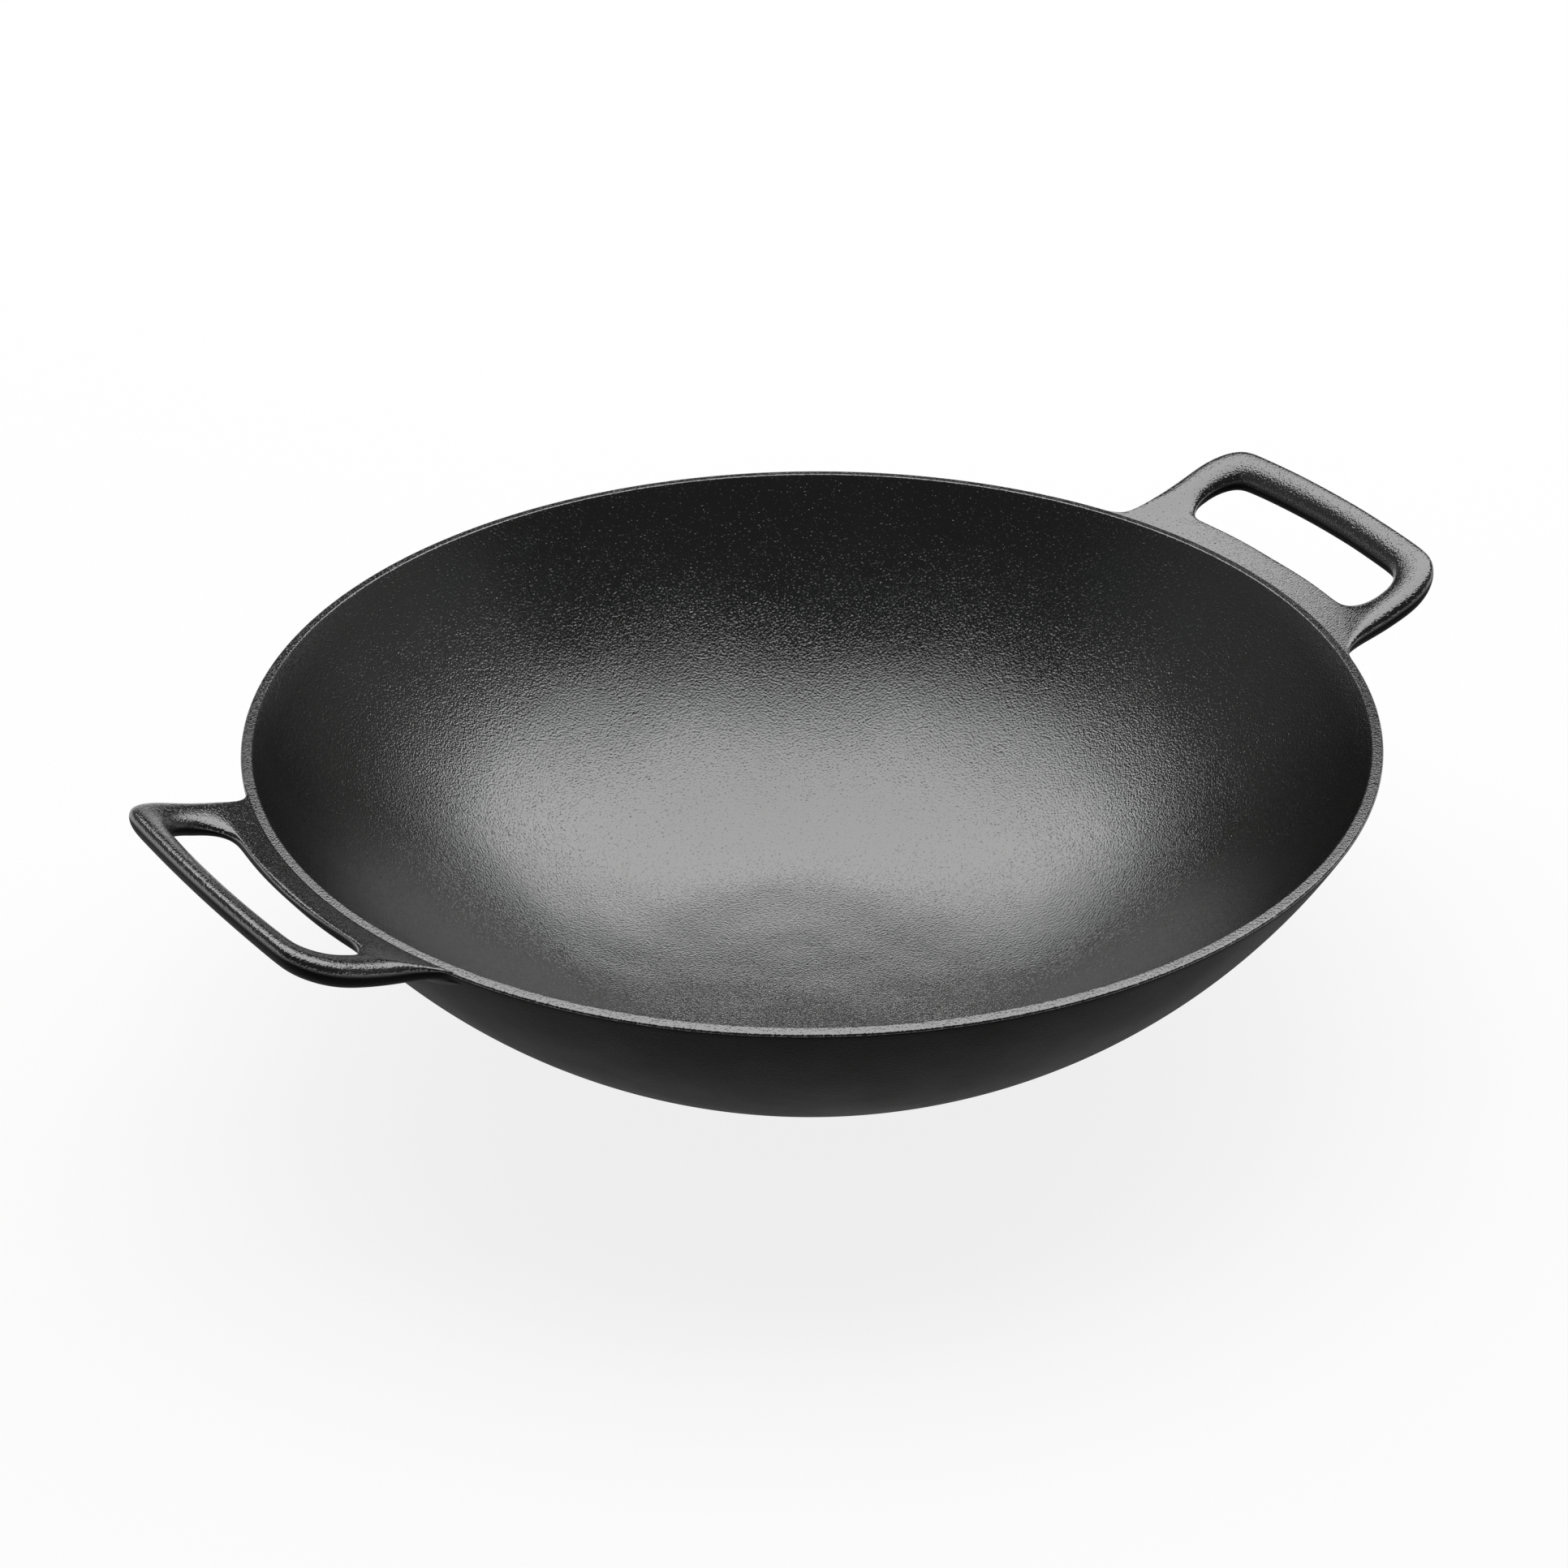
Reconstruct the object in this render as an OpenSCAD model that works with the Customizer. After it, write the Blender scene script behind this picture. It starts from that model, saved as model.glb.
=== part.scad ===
// Cast iron wok: one sand casting with a dished bowl, a flat foot and two loop handles.
// Origin at the middle of the foot's underside, handles along X, Z up, millimetres.

/* [Bowl] */
// Width across the rim, outside edge to outside edge
rim_d = 360; // [320:1:400]
// Height from the foot to the top of the rim
bowl_h = 101; // [88:0.5:118]
// Width of the flat foot
foot_d = 106; // [90:1:130]
// Thickness of the cast wall
wall_t = 3.8; // [3.2:0.1:6]
// Thickness of the floor at its middle
floor_t = 4.5; // [4:0.1:7]
// Radius of the shallow dish that the inner floor has
floor_dish_r = 520; // [400:10:1500]
// Radius that blends the inner floor into the wall
floor_blend_r = 110; // [70:1:130]

/* [Rim] */
// Rounding of the outside edges of the rim and the foot
edge_r = 0.9; // [0.7:0.1:1.4]
// Rounding of the rim's inside edge
lip_r = 0.6; // [0.4:0.1:0.9]
// Drop across the rim's top face, from the inside edge to the outside
rim_fall = 0.25; // [0.1:0.05:0.5]

/* [Handle outline] */
// How far each handle reaches beyond the rim
reach = 37.8; // [34:0.2:42]
// Width of a handle where its arms leave the rim
root_w = 116; // [108:1:126]
// Width of a handle across the grip
grip_w = 117; // [108:1:126]
// Rounding of the handle's outer corners
corner_r = 12.5; // [7:0.5:14]
// Fillet between the arms and the rim, seen from above
fillet_r = 7; // [3:0.5:9]
// Share of the rim's curve that the grip loses on its way out
straight_share = 0.68; // [0:0.02:1]

/* [Finger hole] */
// Width of the web between the rim and the hole
web_w = 8.4; // [7.6:0.2:9.6]
// Rounding of the web's edge at the hole, as a half width
web_edge = 2; // [1.6:0.1:2.4]
// Width of the grip bar, seen from above
bar_w = 9.6; // [8.6:0.1:11]
// Length of the hole along the rim
hole_w = 90; // [82:1:96]
// Largest rounding of the hole's corners at the web
web_corner_r = 11; // [6:0.5:12]
// Largest rounding of the hole's corners at the grip
grip_corner_r = 7.5; // [4:0.5:9]

/* [Handle height] */
// Thickness of the web
web_t = 4.2; // [3.6:0.1:6]
// Thickness that the arms start from at the rim
arm_t = 8.2; // [6.8:0.1:9.4]
// Thickness of the grip bar
bar_t = 9.7; // [8.6:0.1:12]
// Depth at which the web's middle meets the bowl, below the top of the rim
web_drop = 0.9; // [0:0.1:2]
// Slope at which a handle leaves the rim, in degrees
rise_angle = 7.8; // [5:0.1:16]
// Extra lift of the grip above that slope
grip_lift = 8.8; // [4:0.1:10]
// Arch of the grip's middle above its ends
grip_arch = 1.7; // [0:0.1:4]
// Depth of a handle's root on the wall, below the top of the rim
root_h = 15.3; // [12:0.1:18]

/* [Handle section] */
// Squareness of the handle's side at the hole, where 2 is an ellipse
hole_side_power = 2.8; // [2:0.1:3.6]
// Squareness of the grip bar's outer side
bar_side_power = 1.7; // [1.6:0.1:2.6]
// Squareness of the arms' outer sides
arm_side_power = 2.4; // [2:0.1:3]
// Share of its width that the side at the hole takes
hole_side_share = 0.6; // [0.4:0.05:0.65]

/* [Hidden] */
$fn = 120;
iron = [0.09, 0.09, 0.095];

rim_r = rim_d / 2;
foot_r = foot_d / 2;

// The lip and the foot edge are arcs of edge_r. The wall's outer arc touches both, so its
// centre is as far from the lip's centre as from the foot edge's.
lip_c = [rim_r - edge_r, bowl_h - rim_fall - edge_r];
crown_z = (pow(lip_c.x, 2) + pow(lip_c.y, 2) - pow(foot_r, 2) - pow(edge_r, 2))
    / (2 * (lip_c.y - edge_r));
crown_r = norm([foot_r, crown_z - edge_r]) + edge_r;
dish_r = crown_r - wall_t;
lip_angle = atan2(lip_c.y - crown_z, lip_c.x);
foot_angle = atan2(edge_r - crown_z, foot_r);

// Inside edge of the rim, and the direction that the land between both edges faces
inner_c_z = bowl_h - lip_r;
inner_c = [sqrt(pow(dish_r + lip_r, 2) - pow(crown_z - inner_c_z, 2)), inner_c_z];
land = lip_c - inner_c;
land_angle = atan2(land.y, land.x) + acos((lip_r - edge_r) / norm(land));
inner_angle = atan2(inner_c.y - crown_z, inner_c.x);

// The blend is an arc that touches the floor's shallow dish and the wall's deeper one, so its
// centre lies at a known distance from the centre of each
floor_c = [0, floor_t + floor_dish_r];
to_floor = floor_dish_r - floor_blend_r;
to_wall = dish_r - floor_blend_r;
blend_c_z = (pow(floor_c.y, 2) - pow(crown_z, 2) - pow(to_floor, 2) + pow(to_wall, 2))
    / (2 * (floor_c.y - crown_z));
blend_c = [sqrt(pow(to_wall, 2) - pow(crown_z - blend_c_z, 2)), blend_c_z];
blend_angle = atan2(blend_c.y - crown_z, blend_c.x);
floor_angle = atan2(blend_c.y - floor_c.y, blend_c.x);

// Steps along each arc of the bowl's section
edge_steps = 4;
wall_steps = 18;
blend_steps = 8;
floor_steps = 4;

// Points on an arc about c, from angle a to angle b
function arc(c, r, a, b, steps) =
    [for (i = [0:steps]) let (t = a + (b - a) * i / steps) c + r * [cos(t), sin(t)]];

crown_c = [0, crown_z];
lip_arc = arc(lip_c, edge_r, lip_angle, land_angle, edge_steps);

// Right half of the bowl's section, anticlockwise from the middle of the foot
function bowl_section() = concat(
    [[0, 0]],
    arc([foot_r, edge_r], edge_r, -90, foot_angle, edge_steps),
    arc(crown_c, crown_r, foot_angle, lip_angle, wall_steps),
    lip_arc,
    arc(inner_c, lip_r, land_angle, inner_angle + 180, edge_steps),
    arc(crown_c, dish_r, inner_angle, blend_angle, wall_steps),
    arc(blend_c, floor_blend_r, blend_angle, floor_angle, blend_steps),
    arc(floor_c, floor_dish_r, floor_angle, -90, floor_steps)
);

// One copy of each point where two arcs meet
repeat_share = 0.001;
function without_repeats(p) =
    [for (i = [0:len(p) - 1]) if (i == 0 || norm(p[i] - p[i - 1]) > edge_r * repeat_share) p[i]];

module bowl() {
    color(iron) rotate_extrude() polygon(without_repeats(bowl_section()));
}

// The handle is a ring of sections round the finger hole. Each section spans from the hole's
// outline to the outer outline. Plan points are [along the rim, out from the rim].
hole_y = [web_w, reach - bar_w];
web_corner_share = 0.58;
grip_corner_share = 0.4;
web_rounding = min(web_corner_r, (hole_y[1] - hole_y[0]) * web_corner_share);
grip_rounding = min(grip_corner_r, (hole_y[1] - hole_y[0]) * grip_corner_share);
side_steps = 4;
web_steps = 7;
corner_steps = 7;

// Points between a and b, without the ends
function between(a, b, steps) = [for (i = [1:steps]) a + (b - a) * i / (steps + 1)];

// Rounding of the corner at c between the lines to a and to b
function round_corner(a, c, b, r) =
    let (
        to_a = (a - c) / norm(a - c),
        to_b = (b - c) / norm(b - c),
        half = acos(to_a * to_b) / 2,
        mid = c + (to_a + to_b) / norm(to_a + to_b) * r / sin(half),
        start = c + to_a * r / tan(half) - mid,
        end = c + to_b * r / tan(half) - mid,
        turn = asin((start.x * end.y - start.y * end.x) / (r * r))
    )
    arc(mid, r, atan2(start.y, start.x), atan2(start.y, start.x) + turn, corner_steps);

// Half outline from the web's middle to the grip's middle, with a corner at each end of the arm
function half_outline(start, corner_a, corner_b, end) = concat(
    [start],
    between(start, corner_a[0], web_steps),
    corner_a,
    between(corner_a[corner_steps], corner_b[0], side_steps),
    corner_b,
    between(corner_b[corner_steps], end, side_steps),
    [end]
);

root_corner = [root_w / 2, 0];
grip_corner = [grip_w / 2, reach];
outer_half = half_outline(
    [0, 0],
    round_corner([root_w, 0], root_corner, grip_corner, fillet_r),
    round_corner(root_corner, grip_corner, [0, reach], corner_r),
    [0, reach]
);
hole_half = half_outline(
    [0, hole_y[0]],
    round_corner([0, hole_y[0]], [hole_w / 2, hole_y[0]], [hole_w / 2, hole_y[1]], web_rounding),
    round_corner([hole_w / 2, hole_y[0]], [hole_w / 2, hole_y[1]], [0, hole_y[1]], grip_rounding),
    [0, hole_y[1]]
);

// Whole ring of stations from a half outline
function mirrored(p) = concat(p, [for (i = [len(p) - 2:-1:1]) [-p[i].x, p[i].y]]);
outer_ring = mirrored(outer_half);
hole_ring = mirrored(hole_half);
stations = len(outer_ring);

// Smooth step from 0 to 1
function ease(t) = let (u = min(max(t, 0), 1)) u * u * (3 - 2 * u);

// How fully a station sits on the bowl: 1 along the web, easing off round the fillet
seat_first = web_steps + 1;
function seating(k) =
    let (i = min(k, stations - k)) 1 - ease((i - seat_first) / corner_steps);

// Middle height of the handle above the top of the rim, and its thickness
function mid_height(p) =
    let (out = max(p.y, 0) / reach)
    -web_drop + tan(rise_angle) * p.y + grip_lift * pow(out, 2)
        + grip_arch * ease(out) * (1 - pow(2 * p.x / grip_w, 2));
function thickness(p, on_bowl) =
    web_t * on_bowl + (arm_t + (bar_t - arm_t) * ease(p.y / reach)) * (1 - on_bowl);

// Bends a plan point round the rim: fully at the rim, less towards the grip
function bent(p) =
    let (sag = rim_r - sqrt(pow(rim_r, 2) - pow(p.x, 2)))
    rim_r + p.y - sag * (1 - straight_share * min(max(p.y / reach, 0), 1));

// Section points run anticlockwise from the outer side. The side at the hole is squarer, and
// the outer side is squarer on the arms than in the middle of the grip.
section_points = 20;
quarter = section_points / 4;
arm_growth = 4;
function outer_power(x) =
    bar_side_power + (arm_side_power - bar_side_power) * pow(min(2 * abs(x) / hole_w, 1), arm_growth);
function rounded(c, power) = sign(c) * pow(abs(c), 2 / power);

// The seat follows the lip and then the wall, down to the depth of the root there
seat_points = section_points / 2 - 1;
wall_seat_points = seat_points - edge_steps - 1;
root_end = outer_half[seat_first].x;
root_taper_share = 0.75;
taper_power = 4;
function root_depth(x) =
    root_h * (1 - root_taper_share * pow(min(abs(x) / root_end, 1), taper_power));
function seat_angle(x) = asin((bowl_h - root_depth(x) - crown_z) / crown_r);
function seat(x) = concat(
    [for (i = [edge_steps:-1:0]) lip_arc[i]],
    between(
        crown_c + crown_r * [cos(lip_angle), sin(lip_angle)],
        crown_c + crown_r * [cos(seat_angle(x)), sin(seat_angle(x))],
        wall_seat_points - 1
    ),
    [crown_c + crown_r * [cos(seat_angle(x)), sin(seat_angle(x))]]
);

// One section: the outer half of its points moves onto the bowl as far as the station is seated,
// and its highest point then lies close to the hole
function section(k) =
    let (
        hole = hole_ring[k],
        outer = outer_ring[k],
        on_bowl = seating(k),
        wall = seat(outer.x),
        turn = asin(outer.x / rim_r),
        span = norm(outer - hole),
        near = span * hole_side_share * (1 - on_bowl) + web_edge * on_bowl,
        across = (outer - hole) / span
    )
    [for (j = [0:section_points - 1])
        let (
            a = 360 * j / section_points,
            side = cos(a) < 0 ? near : span - near,
            power = cos(a) < 0 ? hole_side_power : outer_power(hole.x),
            p = hole + across * (near + side * rounded(cos(a), power)),
            lift = rounded(sin(a), power) * thickness(p, on_bowl) / 2,
            free = [bent(p), p.x, bowl_h + mid_height(p) + lift],
            i = (quarter - 1 - j + section_points) % section_points,
            held = i < seat_points && on_bowl > 0
        )
        held
            ? free * (1 - on_bowl) + on_bowl * [wall[i].x * cos(turn), wall[i].x * sin(turn), wall[i].y]
            : free];

handle_points = [for (k = [0:stations - 1]) each section(k)];
handle_faces = [for (k = [0:stations - 1], j = [0:section_points - 1])
    let (
        next_k = (k + 1) % stations,
        next_j = (j + 1) % section_points,
        a = k * section_points + j,
        b = next_k * section_points + j,
        c = next_k * section_points + next_j,
        d = k * section_points + next_j
    )
    each [[a, b, c], [a, c, d]]];

// Loop handle, cast with the bowl and seated on its lip and outer wall
module loop_handle() {
    color(iron) polyhedron(points = handle_points, faces = handle_faces, convexity = 6);
}

module right_handle() {
    loop_handle();
}

module left_handle() {
    rotate([0, 0, 180]) loop_handle();
}

bowl();
right_handle();
left_handle();
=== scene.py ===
import math

import bpy
import numpy as np
from mathutils import Matrix, Vector, noise


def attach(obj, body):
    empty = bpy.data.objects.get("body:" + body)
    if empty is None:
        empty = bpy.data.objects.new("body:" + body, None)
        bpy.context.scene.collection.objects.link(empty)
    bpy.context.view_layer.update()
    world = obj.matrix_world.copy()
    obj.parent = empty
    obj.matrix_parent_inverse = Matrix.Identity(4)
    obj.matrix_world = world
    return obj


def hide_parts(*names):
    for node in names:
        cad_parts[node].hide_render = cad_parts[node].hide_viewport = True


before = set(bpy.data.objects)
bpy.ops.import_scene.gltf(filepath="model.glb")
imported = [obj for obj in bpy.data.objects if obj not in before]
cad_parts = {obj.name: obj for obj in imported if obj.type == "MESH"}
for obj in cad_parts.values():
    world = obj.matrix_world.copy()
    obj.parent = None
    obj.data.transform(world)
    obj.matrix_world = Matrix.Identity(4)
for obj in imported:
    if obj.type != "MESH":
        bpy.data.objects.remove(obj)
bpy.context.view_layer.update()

# Camera
# The photograph is a product shot from the side of a table, a little under a third of the way up
# to straight above, with a long lens. The near handle points at the lower left corner.
CAMERA_AZIMUTH = math.radians(34.103)
CAMERA_ELEVATION = math.radians(29.442)
CAMERA_DISTANCE = 1.4402
CAMERA_TURNS = (0.00612, 0.01297, -0.00617)
AIM_HEIGHT = 0.0998
FOCAL_PIXELS, PHOTO_PIXELS = 5600, 1932
SENSOR_MM, SIGHT = 36, 100

camera_data = bpy.data.cameras.new("product_camera")
camera_data.sensor_width = SENSOR_MM
camera_data.lens = SENSOR_MM * FOCAL_PIXELS / PHOTO_PIXELS
camera_data.clip_end = SIGHT
camera = bpy.data.objects.new("product_camera", camera_data)
bpy.context.scene.collection.objects.link(camera)

# Rows of the view matrix: right, down and forward, then the three small turns that frame the shot
yaw, pitch, roll = CAMERA_TURNS
sin_e, cos_e = math.sin(CAMERA_ELEVATION), math.cos(CAMERA_ELEVATION)
level = Matrix(((1, 0, 0), (0, -sin_e, -cos_e), (0, cos_e, -sin_e)))
turned = (
    Matrix.Rotation(roll, 3, "Z")
    @ Matrix.Rotation(pitch, 3, "X")
    @ Matrix.Rotation(yaw, 3, "Y")
    @ level
    @ Matrix.Rotation(CAMERA_AZIMUTH, 3, "Z")
)
axes = Matrix((turned[0], -turned[1], -turned[2])).transposed()
place = Vector((0, -CAMERA_DISTANCE * cos_e, CAMERA_DISTANCE * sin_e))
place.rotate(Matrix.Rotation(-CAMERA_AZIMUTH, 3, "Z"))
camera.matrix_world = Matrix.Translation(place + Vector((0, 0, AIM_HEIGHT))) @ axes.to_4x4()
bpy.context.scene.camera = camera

# Bowl
# The real piece is a grey iron sand casting: a dished wall on a flat foot, 360 mm across the rim.
# It keeps the sand's grainy skin, rim and all, under baked-on oil.
MM = 0.001
RIM_R, BOWL_H, FOOT_R, WALL_T = 180 * MM, 101 * MM, 53 * MM, 3.8 * MM
FLOOR_T, FLOOR_DISH_R, FLOOR_BLEND_R = 4.5 * MM, 520 * MM, 110 * MM
EDGE_R, LIP_R, RIM_FALL = 0.9 * MM, 0.6 * MM, 0.25 * MM
BOWL_TURNS, RING_GAP = 480, 2.4 * MM
FOOT_EDGE_STEPS, LIP_STEPS, LAND_STEPS, FEWEST_STEPS = 5, 7, 7, 3


def arc(centre, radius, start, end, steps):
    """Points on an arc, in the plane of the radius and the height. Angles are in radians."""
    turn = np.linspace(start, end, steps + 1)
    return np.stack([centre[0] + radius * np.cos(turn), centre[1] + radius * np.sin(turn)], 1)


def even_arc(centre, radius, start, end):
    """An arc with a point every RING_GAP or so."""
    return arc(centre, radius, start, end, max(FEWEST_STEPS, int(abs(end - start) * radius / RING_GAP)))


# The wall's outer arc touches the arcs of the lip and of the foot's edge, the inner arc keeps the
# wall's thickness, and a blend touches the inner arc and the floor's shallow dish
lip_c = np.array([RIM_R - EDGE_R, BOWL_H - RIM_FALL - EDGE_R])
crown_z = (lip_c @ lip_c - FOOT_R**2 - EDGE_R**2) / (2 * (lip_c[1] - EDGE_R))
crown_c = np.array([0, crown_z])
crown_r = math.hypot(FOOT_R, crown_z - EDGE_R) + EDGE_R
dish_r = crown_r - WALL_T
lip_angle = math.atan2(lip_c[1] - crown_z, lip_c[0])
foot_angle = math.atan2(EDGE_R - crown_z, FOOT_R)
inner_z = BOWL_H - LIP_R
inner_c = np.array([math.sqrt((dish_r + LIP_R) ** 2 - (crown_z - inner_z) ** 2), inner_z])
land = lip_c - inner_c
land_angle = math.atan2(land[1], land[0]) + math.acos((LIP_R - EDGE_R) / np.linalg.norm(land))
inner_angle = math.atan2(inner_z - crown_z, inner_c[0])
floor_c = np.array([0, FLOOR_T + FLOOR_DISH_R])
to_floor, to_wall = FLOOR_DISH_R - FLOOR_BLEND_R, dish_r - FLOOR_BLEND_R
blend_z = (floor_c[1] ** 2 - crown_z**2 - to_floor**2 + to_wall**2) / (2 * (floor_c[1] - crown_z))
blend_c = np.array([math.sqrt(to_wall**2 - (crown_z - blend_z) ** 2), blend_z])
blend_angle = math.atan2(blend_z - crown_z, blend_c[0])
floor_angle = math.atan2(blend_z - floor_c[1], blend_c[0])

foot_face = np.linspace((0, 0), (FOOT_R, 0), int(FOOT_R / RING_GAP))[1:-1]
outside = np.vstack([
    foot_face,
    arc((FOOT_R, EDGE_R), EDGE_R, -math.pi / 2, foot_angle, FOOT_EDGE_STEPS)[:-1],
    even_arc(crown_c, crown_r, foot_angle, lip_angle)[:-1],
])
lip = arc(lip_c, EDGE_R, lip_angle, land_angle, LIP_STEPS)
inner_lip = arc(inner_c, LIP_R, land_angle, inner_angle + math.pi, LIP_STEPS)
inside = np.vstack([
    even_arc(crown_c, dish_r, inner_angle, blend_angle)[:-1],
    even_arc(blend_c, FLOOR_BLEND_R, blend_angle, floor_angle)[:-1],
    even_arc(floor_c, FLOOR_DISH_R, floor_angle, -math.pi / 2)[:-1],
])
land_points = np.linspace(lip[-1], inner_lip[0], LAND_STEPS + 1)[1:-1]
profile = np.vstack([outside, lip, land_points, inner_lip[:-1], inside])


def swell(points, size):
    """Smooth unevenness of one size, from about -1 to 1, as a mould leaves it."""
    return np.array([noise.noise(Vector(p) / size) for p in points])


def closed_mesh(name, points, faces, materials):
    """A smooth-shaded object from points and faces."""
    mesh = bpy.data.meshes.new(name)
    mesh.from_pydata(np.asarray(points).tolist(), [], faces)
    for material in materials:
        mesh.materials.append(material)
    mesh.polygons.foreach_set("use_smooth", [True] * len(mesh.polygons))
    mesh.update()
    piece = bpy.data.objects.new(name, mesh)
    bpy.context.scene.collection.objects.link(piece)
    return piece


def ring_faces(rings, count, closed):
    """Quads between neighbouring rings of count points each."""
    last = rings if closed else rings - 1
    return [
        (a * count + i, a * count + j, b * count + j, b * count + i)
        for a, b in ((k, (k + 1) % rings) for k in range(last))
        for i, j in ((i, (i + 1) % count) for i in range(count))
    ]


def linear(hex_colour):
    """sRGB hex to the linear colour that a shader takes."""
    parts = [int(hex_colour[i : i + 2], 16) / 255 for i in (1, 3, 5)]
    return (*[c / 12.92 if c <= 0.04045 else ((c + 0.055) / 1.055) ** 2.4 for c in parts], 1)


def add_node(tree, kind, settings=None, links=None):
    """Adds one node, sets its inputs or properties by name, and links its inputs."""
    node = tree.nodes.new(kind)
    for key, value in (settings or {}).items():
        if isinstance(key, str) and hasattr(node, key):
            setattr(node, key, value)
        else:
            node.inputs[key].default_value = value
    for key, source in (links or {}).items():
        tree.links.new(source, node.inputs[key])
    return node


# Seasoned cast iron: black iron oxide under baked oil. Faces that look up are wiped with oil and
# mirror light softly. Faces that look down are rougher, and their low IOR is painted shade that keeps
# them from mirroring the floor. The moulding sand leaves grains a little under a millimetre across,
# with a few steep burrs, which break the light up into specks.
GRAIN, GRAIN_DEPTH, CLOUD = 0.68 * MM, 0.16 * MM, 30 * MM
BURR_START, BURR_HEIGHT, FINE_SHARE = 0.65, 0.7, 0.6
OXIDE_IOR, UNDERSIDE_SHADE_IOR = 2.25, 1.11
OILED_ROUGHNESS, SOOTY_ROUGHNESS = 0.13, 0.55
SOOTY_SHADED_SLOPE, OILED_UNSHADED_SLOPE = 0.02, 0.4
FRESH_CLOUD, WORN_CLOUD, FRESH_GLOSS, WORN_DULL = 0.35, 0.65, -0.02, 0.04

seasoned_iron = bpy.data.materials.new("seasoned_cast_iron_skin")
seasoned_iron.use_nodes = True
tree = seasoned_iron.node_tree
shader = tree.nodes["Principled BSDF"]
spot = add_node(tree, "ShaderNodeTexCoord").outputs["Object"]
grain = add_node(tree, "ShaderNodeTexNoise",
                 {"Scale": 1 / GRAIN, "Detail": 1.0, "Roughness": FINE_SHARE}, {"Vector": spot})
cloud = add_node(tree, "ShaderNodeTexNoise",
                 {"Scale": 1 / CLOUD, "Detail": 3.0, "Roughness": FINE_SHARE}, {"Vector": spot})
facing = add_node(tree, "ShaderNodeSeparateXYZ", {},
                  {0: add_node(tree, "ShaderNodeNewGeometry").outputs["Normal"]})
oiled_and_unshaded = add_node(tree, "ShaderNodeMapRange",
                 {"interpolation_type": "SMOOTHSTEP", "From Min": SOOTY_SHADED_SLOPE, "From Max": OILED_UNSHADED_SLOPE},
                 {"Value": facing.outputs["Z"]})
# Inputs 6 and 7 and output 2 are a mix node's colours
colour = add_node(tree, "ShaderNodeMix",
                  {"data_type": "RGBA", 6: linear("#161616"), 7: linear("#1b1a19")},
                  {0: cloud.outputs["Fac"]})
gloss = add_node(tree, "ShaderNodeMapRange",
                 {"To Min": SOOTY_ROUGHNESS, "To Max": OILED_ROUGHNESS},
                 {"Value": oiled_and_unshaded.outputs["Result"]})
worn = add_node(tree, "ShaderNodeMapRange",
                {"From Min": FRESH_CLOUD, "From Max": WORN_CLOUD,
                 "To Min": FRESH_GLOSS, "To Max": WORN_DULL},
                {"Value": cloud.outputs["Fac"]})
roughness = add_node(tree, "ShaderNodeMath", {"operation": "ADD"},
                     {0: gloss.outputs["Result"], 1: worn.outputs["Result"]})
# Faces that look down get a far lower IOR than the oxide: painted shade, so they hardly mirror the
# white floor
underside_shade_index = add_node(tree, "ShaderNodeMapRange", {"To Min": UNDERSIDE_SHADE_IOR, "To Max": OXIDE_IOR},
                 {"Value": oiled_and_unshaded.outputs["Result"]})
burr = add_node(tree, "ShaderNodeMapRange",
                {"From Min": BURR_START, "From Max": 1.0, "To Max": BURR_HEIGHT},
                {"Value": grain.outputs["Fac"]})
skin = add_node(tree, "ShaderNodeMath", {"operation": "ADD"},
                {0: grain.outputs["Fac"], 1: burr.outputs["Result"]})
bump = add_node(tree, "ShaderNodeBump", {"Strength": 1.0, "Distance": GRAIN_DEPTH},
                {"Height": skin.outputs[0]})
tree.links.new(colour.outputs[2], shader.inputs["Base Color"])
tree.links.new(roughness.outputs[0], shader.inputs["Roughness"])
shader.inputs["IOR"].default_value = OXIDE_IOR
tree.links.new(underside_shade_index.outputs["Result"], shader.inputs["IOR"])
tree.links.new(bump.outputs["Normal"], shader.inputs["Normal"])

turn = np.linspace(0, 2 * np.pi, BOWL_TURNS, endpoint=False)
across = np.stack([np.cos(turn), np.sin(turn)], 1)
rings = [np.column_stack([r * across, np.full(BOWL_TURNS, z)]) for r, z in profile]
count = len(profile)
foot_pole, floor_pole = count * BOWL_TURNS, count * BOWL_TURNS + 1
bowl_points = np.vstack(rings + [[[0, 0, 0]], [[0, 0, FLOOR_T]]])

# The mould's hand-dressed core leaves long swells on the inside and shorter ones near the floor
WALL_SWELL, WALL_SWELL_SIZE, LIP_FADE = 0.3 * MM, 32 * MM, 25 * MM
FLOOR_SWELL, FLOOR_SWELL_SIZE = 0.17 * MM, 15 * MM
FLOOR_SWELL_R, FLOOR_FADE = 120 * MM, 50 * MM
cast_by_core = np.r_[(count - len(inside)) * BOWL_TURNS : foot_pole, floor_pole]
core_points = bowl_points[cast_by_core]
out = np.hypot(core_points[:, 0], core_points[:, 1])
long_swell = WALL_SWELL * np.clip((inner_c[0] - out) / LIP_FADE, 0, 1)
short_swell = FLOOR_SWELL * np.clip((FLOOR_SWELL_R - out) / FLOOR_FADE, 0, 1)
bowl_points[cast_by_core, 2] += (
    long_swell * swell(core_points, WALL_SWELL_SIZE)
    + short_swell * swell(core_points, FLOOR_SWELL_SIZE)
)
bowl_faces = ring_faces(count, BOWL_TURNS, False)
top = (count - 1) * BOWL_TURNS
for i in range(BOWL_TURNS):
    j = (i + 1) % BOWL_TURNS
    bowl_faces.append((foot_pole, j, i))
    bowl_faces.append((floor_pole, top + i, top + j))

bowl = closed_mesh("bowl_casting", bowl_points, bowl_faces, [seasoned_iron])
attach(bowl, "root")
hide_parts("bowl")

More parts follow.
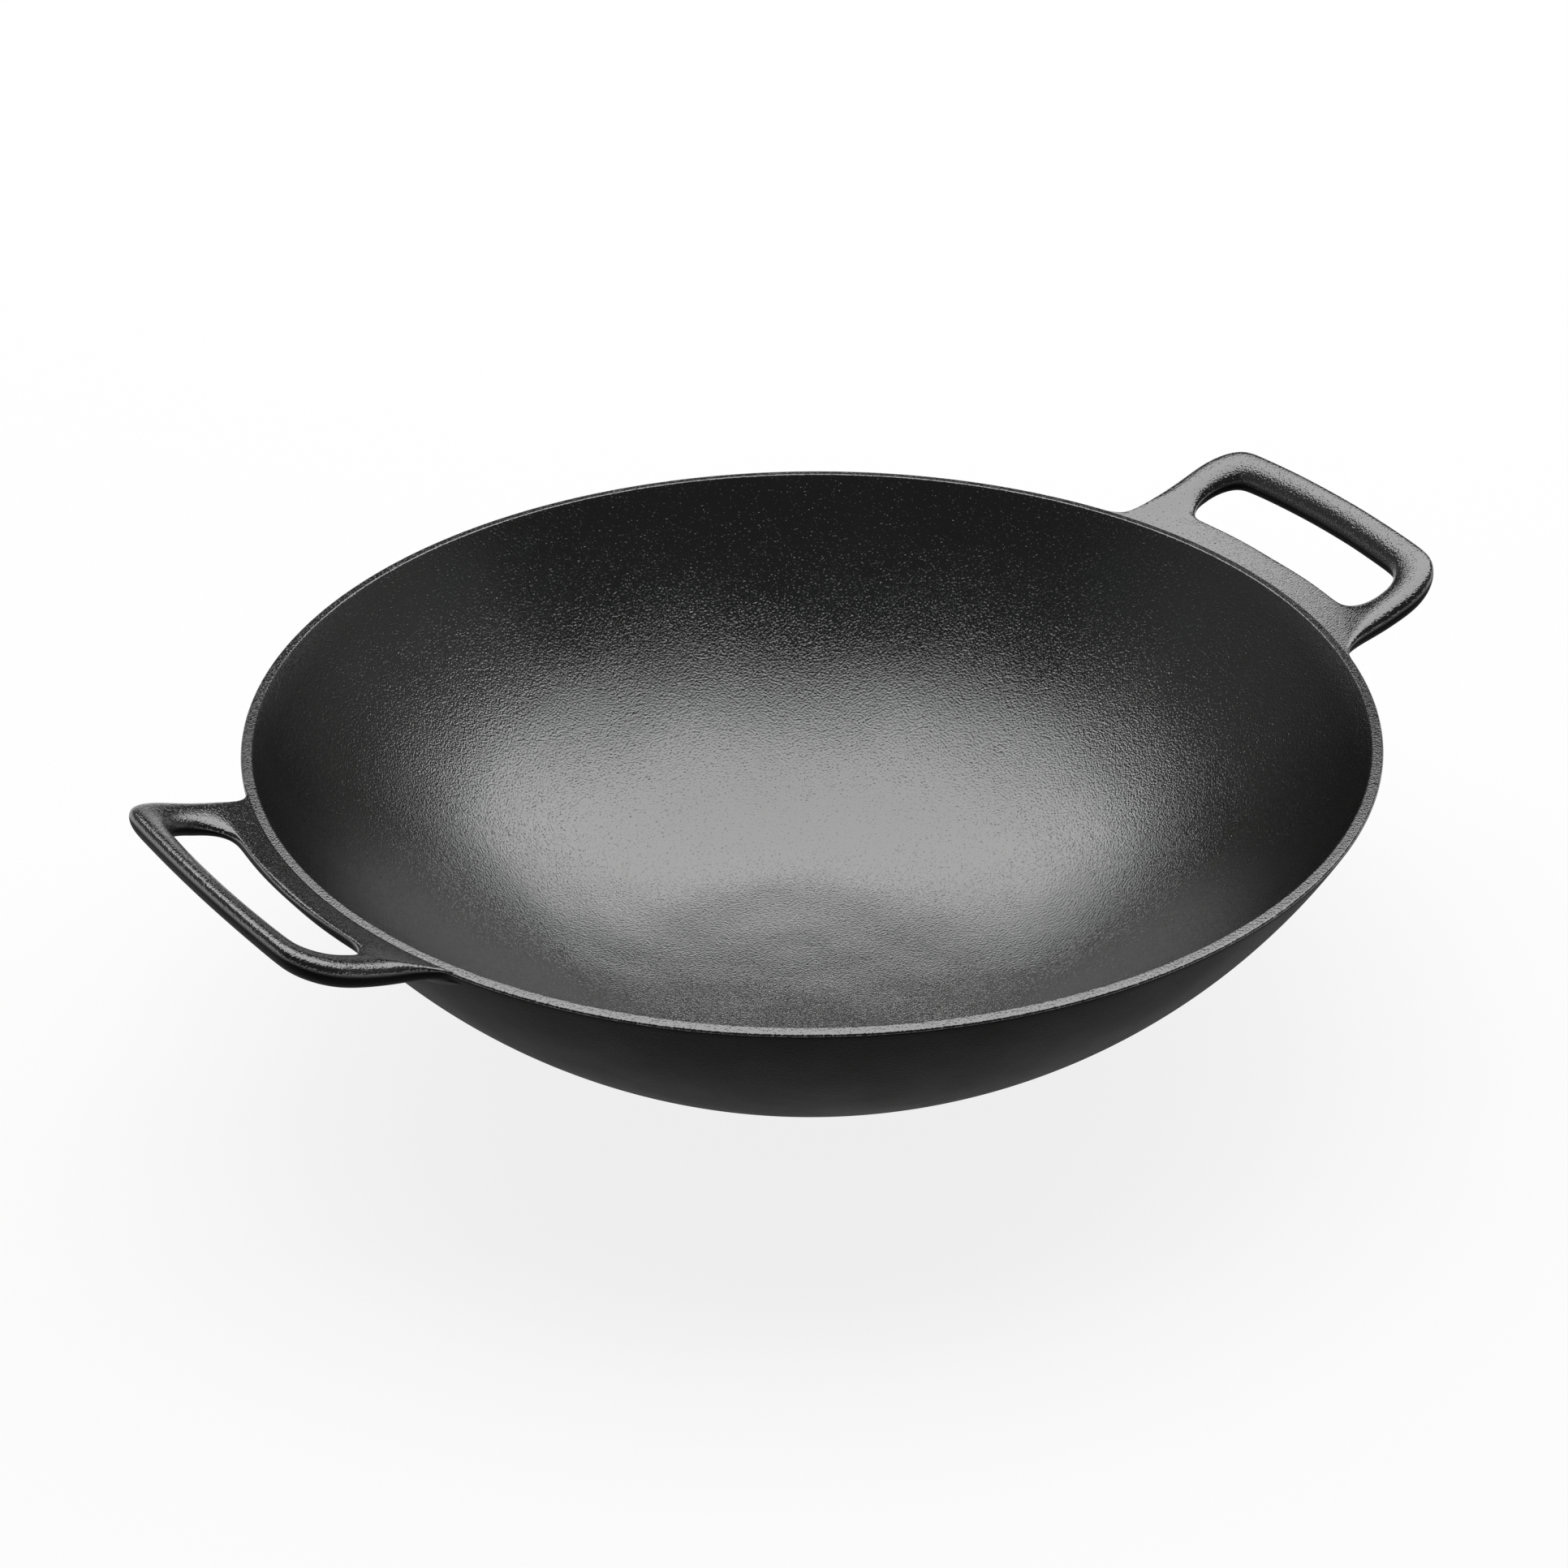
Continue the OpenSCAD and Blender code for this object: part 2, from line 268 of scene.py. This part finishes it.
# Loop handles
# Each handle is cast in one with the bowl: a web that rises from the rim's outer edge, two arms
# and a grip bar round a finger hole. It has the same skin and seasoning as the bowl.
REACH, ROOT_W, GRIP_W = 37.8 * MM, 116 * MM, 117 * MM
CORNER_R, FILLET_R, STRAIGHT_SHARE = 12.5 * MM, 7 * MM, 0.68
WEB_W, WEB_EDGE, BAR_W, HOLE_W = 8.4 * MM, 2 * MM, 9.6 * MM, 90 * MM
WEB_CORNER_R, GRIP_CORNER_R = 11 * MM, 7.5 * MM
WEB_T, ARM_T, BAR_T, WEB_DROP = 4.2 * MM, 8.2 * MM, 9.7 * MM, 0.9 * MM
RISE_ANGLE, GRIP_LIFT, GRIP_ARCH = math.radians(7.8), 8.8 * MM, 1.7 * MM
ROOT_H, ROOT_TAPER_SHARE, TAPER_POWER = 15.3 * MM, 0.75, 4
HOLE_SIDE_POWER, BAR_SIDE_POWER, ARM_SIDE_POWER, ARM_GROWTH = 2.3, 2.0, 2.3, 4
HOLE_SIDE_SHARE = 0.6
SIDE_STEPS, WEB_STEPS, CORNER_STEPS, SECTION_POINTS, EDGE_STEPS = 24, 28, 20, 72, 6
WEB_POINTS, SMOOTHINGS, SHARP_ANGLE = 8, 30, math.radians(75)
LUMP_SHARE, LUMP_SIZE = 0.025, 10 * MM


def between(a, b, steps):
    """Points between two others, without the two."""
    return np.linspace(a, b, steps + 2)[1:-1]


def round_corner(a, corner, b, radius):
    """Rounding of a corner between the lines to a and to b, in plan."""
    a, corner, b = (np.array(p, float) for p in (a, corner, b))
    to_a, to_b = (a - corner) / np.linalg.norm(a - corner), (b - corner) / np.linalg.norm(b - corner)
    half = math.acos(to_a @ to_b) / 2
    mid = corner + (to_a + to_b) / np.linalg.norm(to_a + to_b) * radius / math.sin(half)
    start, end = (corner + to * radius / math.tan(half) - mid for to in (to_a, to_b))
    first = math.atan2(start[1], start[0])
    swing = math.atan2(start[0] * end[1] - start[1] * end[0], start @ end)
    return arc(mid, radius, first, first + swing, CORNER_STEPS)


def half_outline(start, corner_a, corner_b, end):
    """Half of an outline in plan, from the middle of the rim's side to the middle of the grip."""
    return np.vstack([
        [start], between(start, corner_a[0], WEB_STEPS), corner_a,
        between(corner_a[-1], corner_b[0], SIDE_STEPS), corner_b,
        between(corner_b[-1], end, SIDE_STEPS), [end],
    ])


hole_y = (WEB_W, REACH - BAR_W)
root_corner, grip_corner = (ROOT_W / 2, 0), (GRIP_W / 2, REACH)
outer_half = half_outline(
    (0, 0),
    round_corner((ROOT_W, 0), root_corner, grip_corner, FILLET_R),
    round_corner(root_corner, grip_corner, (0, REACH), CORNER_R),
    (0, REACH),
)
hole_a, hole_b = (HOLE_W / 2, hole_y[0]), (HOLE_W / 2, hole_y[1])
hole_half = half_outline(
    (0, hole_y[0]),
    round_corner((0, hole_y[0]), hole_a, hole_b, WEB_CORNER_R),
    round_corner(hole_a, hole_b, (0, hole_y[1]), GRIP_CORNER_R),
    (0, hole_y[1]),
)
outer_ring = np.vstack([outer_half, outer_half[-2:0:-1] * (-1, 1)])
hole_ring = np.vstack([hole_half, hole_half[-2:0:-1] * (-1, 1)])
stations = len(outer_ring)


def ease(t):
    """From 0 to 1 with a soft start and end."""
    t = np.clip(t, 0, 1)
    return t * t * (3 - 2 * t)


def bent(x, y):
    """How far out a plan point lies once it is bent round the rim, less so towards the grip."""
    sag = RIM_R - np.sqrt(RIM_R**2 - x**2)
    return RIM_R + y - sag * (1 - STRAIGHT_SHARE * np.clip(y / REACH, 0, 1))


def middle(x, y):
    """Height of the handle's middle surface, which rises towards the grip and arches along it."""
    out = np.maximum(y, 0) / REACH
    arch = GRIP_ARCH * ease(out) * (1 - (2 * x / GRIP_W) ** 2)
    return BOWL_H - WEB_DROP + math.tan(RISE_ANGLE) * y + GRIP_LIFT * out**2 + arch


def thick(y, on_bowl):
    """How thick the web is on the bowl, and how thick the arms and the grip are off it."""
    return WEB_T * on_bowl + (ARM_T + (BAR_T - ARM_T) * ease(y / REACH)) * (1 - on_bowl)


# Half of a section's points follow the web's top to the rim and then the bowl
held_points = SECTION_POINTS // 2 - 1
seat_points = held_points - WEB_POINTS
held_at = (SECTION_POINTS // 4 - 1 - np.arange(held_points)) % SECTION_POINTS
lip_seat = arc(lip_c, EDGE_R, lip_angle, land_angle, EDGE_STEPS)
root_end = outer_half[WEB_STEPS + 1][0]


def seat(x):
    """The line on the bowl that the handle's section sits on, from the rim's edge down the wall."""
    depth = ROOT_H * (1 - ROOT_TAPER_SHARE * min(abs(x) / root_end, 1) ** TAPER_POWER)
    foot = math.asin((BOWL_H - depth - crown_z) / crown_r)
    steps = seat_points - EDGE_STEPS - 1
    return np.vstack([lip_seat[::-1], arc(crown_c, crown_r, lip_angle, foot, steps)[1:]])


def rounded(c, power):
    """A cosine or sine made fuller or slimmer, for an oval section."""
    return np.sign(c) * np.abs(c) ** (2 / power)


# Rounded, so that a quarter turn's cosine is nought and has no sign
section_turn = 2 * np.pi * np.arange(SECTION_POINTS) / SECTION_POINTS
cos_turn, sin_turn = np.cos(section_turn).round(9), np.sin(section_turn).round(9)


def section(k):
    """One ring of the handle's surface at station k, and how free each of its points is."""
    hole, outer = hole_ring[k], outer_ring[k]
    step = min(k, stations - k)
    on_bowl = 1 - ease((step - WEB_STEPS - 1) / CORNER_STEPS)
    span = np.linalg.norm(outer - hole)
    near = span * HOLE_SIDE_SHARE * (1 - on_bowl) + WEB_EDGE * on_bowl
    arm = min(2 * abs(hole[0]) / HOLE_W, 1) ** ARM_GROWTH
    power = np.where(cos_turn < 0, HOLE_SIDE_POWER,
                     BAR_SIDE_POWER + (ARM_SIDE_POWER - BAR_SIDE_POWER) * arm)
    side = np.where(cos_turn < 0, near, span - near)
    plan = hole + (outer - hole) / span * (near + side * rounded(cos_turn, power))[:, None]
    x, y = plan[:, 0], plan[:, 1]
    lift = rounded(sin_turn, power) * thick(y, on_bowl) / 2
    points = np.stack([bent(x, y), x, middle(x, y) + lift], 1)
    core = points.mean(0)
    lump = LUMP_SHARE * (1 - on_bowl) * (1 + swell(points, LUMP_SIZE)) / 2
    points = core + (points - core) * (1 - lump)[:, None]
    if on_bowl > 0:
        wall = seat(outer[0])
        swing = math.asin(np.clip(outer[0] / RIM_R, -1, 1))
        wall = np.column_stack([wall[:, 0] * math.cos(swing), wall[:, 0] * math.sin(swing), wall[:, 1]])
        web_top = np.linspace(points[SECTION_POINTS // 4], wall[0], WEB_POINTS + 2)[1:-1]
        points[held_at] = points[held_at] * (1 - on_bowl) + np.vstack([web_top, wall]) * on_bowl
    free = np.ones(SECTION_POINTS)
    free[held_at[WEB_POINTS:]] -= on_bowl
    return points, free


# Casting leaves no sharp corner, so the loop is rounded off wherever it doesn't lie on the bowl
loop_points, loop_free = (np.array(part) for part in zip(*(section(k) for k in range(stations))))
for _ in range(SMOOTHINGS):
    beside = sum(np.roll(loop_points, way, axis) for axis in (0, 1) for way in (1, -1)) / 4
    loop_points += loop_free[:, :, None] * (beside - loop_points) / 2
loop_points = loop_points.reshape(-1, 3)
loop_faces = ring_faces(stations, SECTION_POINTS, True)
for name, way in (("right_handle", 1), ("left_handle", -1)):
    handle = closed_mesh(name + "_loop", loop_points * (way, way, 1), loop_faces, [seasoned_iron])
    handle.data.set_sharp_from_angle(angle=SHARP_ANGLE)
    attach(handle, "root")
    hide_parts(name)

# Floor and light
# The wok stands on white studio paper that turns up far away. Two softboxes hang over it, and the
# side walls and the room add a little, so that the bowl mirrors the boxes and its sides stay dark.
FLOOR_HALF, BACK_HEIGHT = 20.0, 0.9
GLOW_SHARE, ROOM_STRENGTH = 0.85, 0.055

paper = bpy.data.materials.new("white_sweep")
paper.use_nodes = True
tree = paper.node_tree
shader = tree.nodes["Principled BSDF"]
shader.inputs["Base Color"].default_value = (*[1 - GLOW_SHARE] * 3, 1)
shader.inputs["Roughness"].default_value = 1.0
shader.inputs["Specular IOR Level"].default_value = 0.0
shader.inputs["Emission Color"].default_value = linear("#ffffff")
ray = add_node(tree, "ShaderNodeLightPath")
seen = add_node(tree, "ShaderNodeMath", {"operation": "ADD"},
                {0: ray.outputs["Is Camera Ray"], 1: ray.outputs["Is Glossy Ray"]})
through = add_node(tree, "ShaderNodeMath", {"operation": "ADD", "use_clamp": True},
                   {0: seen.outputs[0], 1: ray.outputs["Is Transmission Ray"]})
glow = add_node(tree, "ShaderNodeMath", {"operation": "MULTIPLY", 1: GLOW_SHARE},
                {0: through.outputs[0]})
tree.links.new(glow.outputs[0], shader.inputs["Emission Strength"])
corners = [(x * FLOOR_HALF, y * FLOOR_HALF) for x, y in ((-1, -1), (1, -1), (1, 1), (-1, 1))]
upturned = [(k, k + 4, (k + 1) % 4 + 4, (k + 1) % 4) for k in range(4)]
floor = closed_mesh(
    "studio_floor", [(*corner, height) for height in (0, BACK_HEIGHT) for corner in corners],
    [(0, 1, 2, 3)] + upturned, [paper])
floor.data.set_sharp_from_angle(angle=SHARP_ANGLE)

# Softboxes that face the wok: how far each leans away from the camera, its half angle in that
# direction, and how far it reaches to the left and to the right of the photograph, in degrees
SOFTBOX_DISTANCE, SOFTBOX_WATTS_PER_M2 = 2.5, 7.2
SOFTBOXES = {
    "overhead_softbox": (27.5, 24.5, 40, 45),
    "front_softbox": (-4.5, 7.5, 26, 29),
}
away = Matrix.Rotation(math.pi / 2 - CAMERA_AZIMUTH, 4, "Z")
for name, (lean, half_depth, left, right) in SOFTBOXES.items():
    left, right = (SOFTBOX_DISTANCE * math.tan(math.radians(a)) for a in (left, right))
    lamp = bpy.data.lights.new(name, "AREA")
    lamp.shape = "RECTANGLE"
    lamp.size = 2 * SOFTBOX_DISTANCE * math.tan(math.radians(half_depth))
    lamp.size_y = left + right
    lamp.energy = SOFTBOX_WATTS_PER_M2 * lamp.size * lamp.size_y
    source = bpy.data.objects.new(name, lamp)
    source.matrix_world = away @ Matrix.Rotation(math.radians(lean), 4, "Y") @ Matrix.Translation(
        (0, (left - right) / 2, SOFTBOX_DISTANCE))
    bpy.context.scene.collection.objects.link(source)

# The studio's side walls: bearing round the wok from the right handle in degrees, and strength
WALLS = {"left_wall": (120, 0.09), "right_wall": (-8, 0.12)}
WALL_WIDTH, WALL_TILT = math.radians(76), math.radians(72)
for name, (bearing, strength) in WALLS.items():
    lamp = bpy.data.lights.new(name, "SUN")
    lamp.energy = strength
    lamp.angle = WALL_WIDTH
    source = bpy.data.objects.new(name, lamp)
    source.rotation_euler = (0, WALL_TILT, math.radians(bearing))
    bpy.context.scene.collection.objects.link(source)

world = bpy.data.worlds.new("dim_studio")
world.use_nodes = True
background = world.node_tree.nodes["Background"]
background.inputs["Color"].default_value = linear("#ffffff")
background.inputs["Strength"].default_value = ROOM_STRENGTH
bpy.context.scene.world = world
bpy.context.scene.view_settings.view_transform = "Standard"
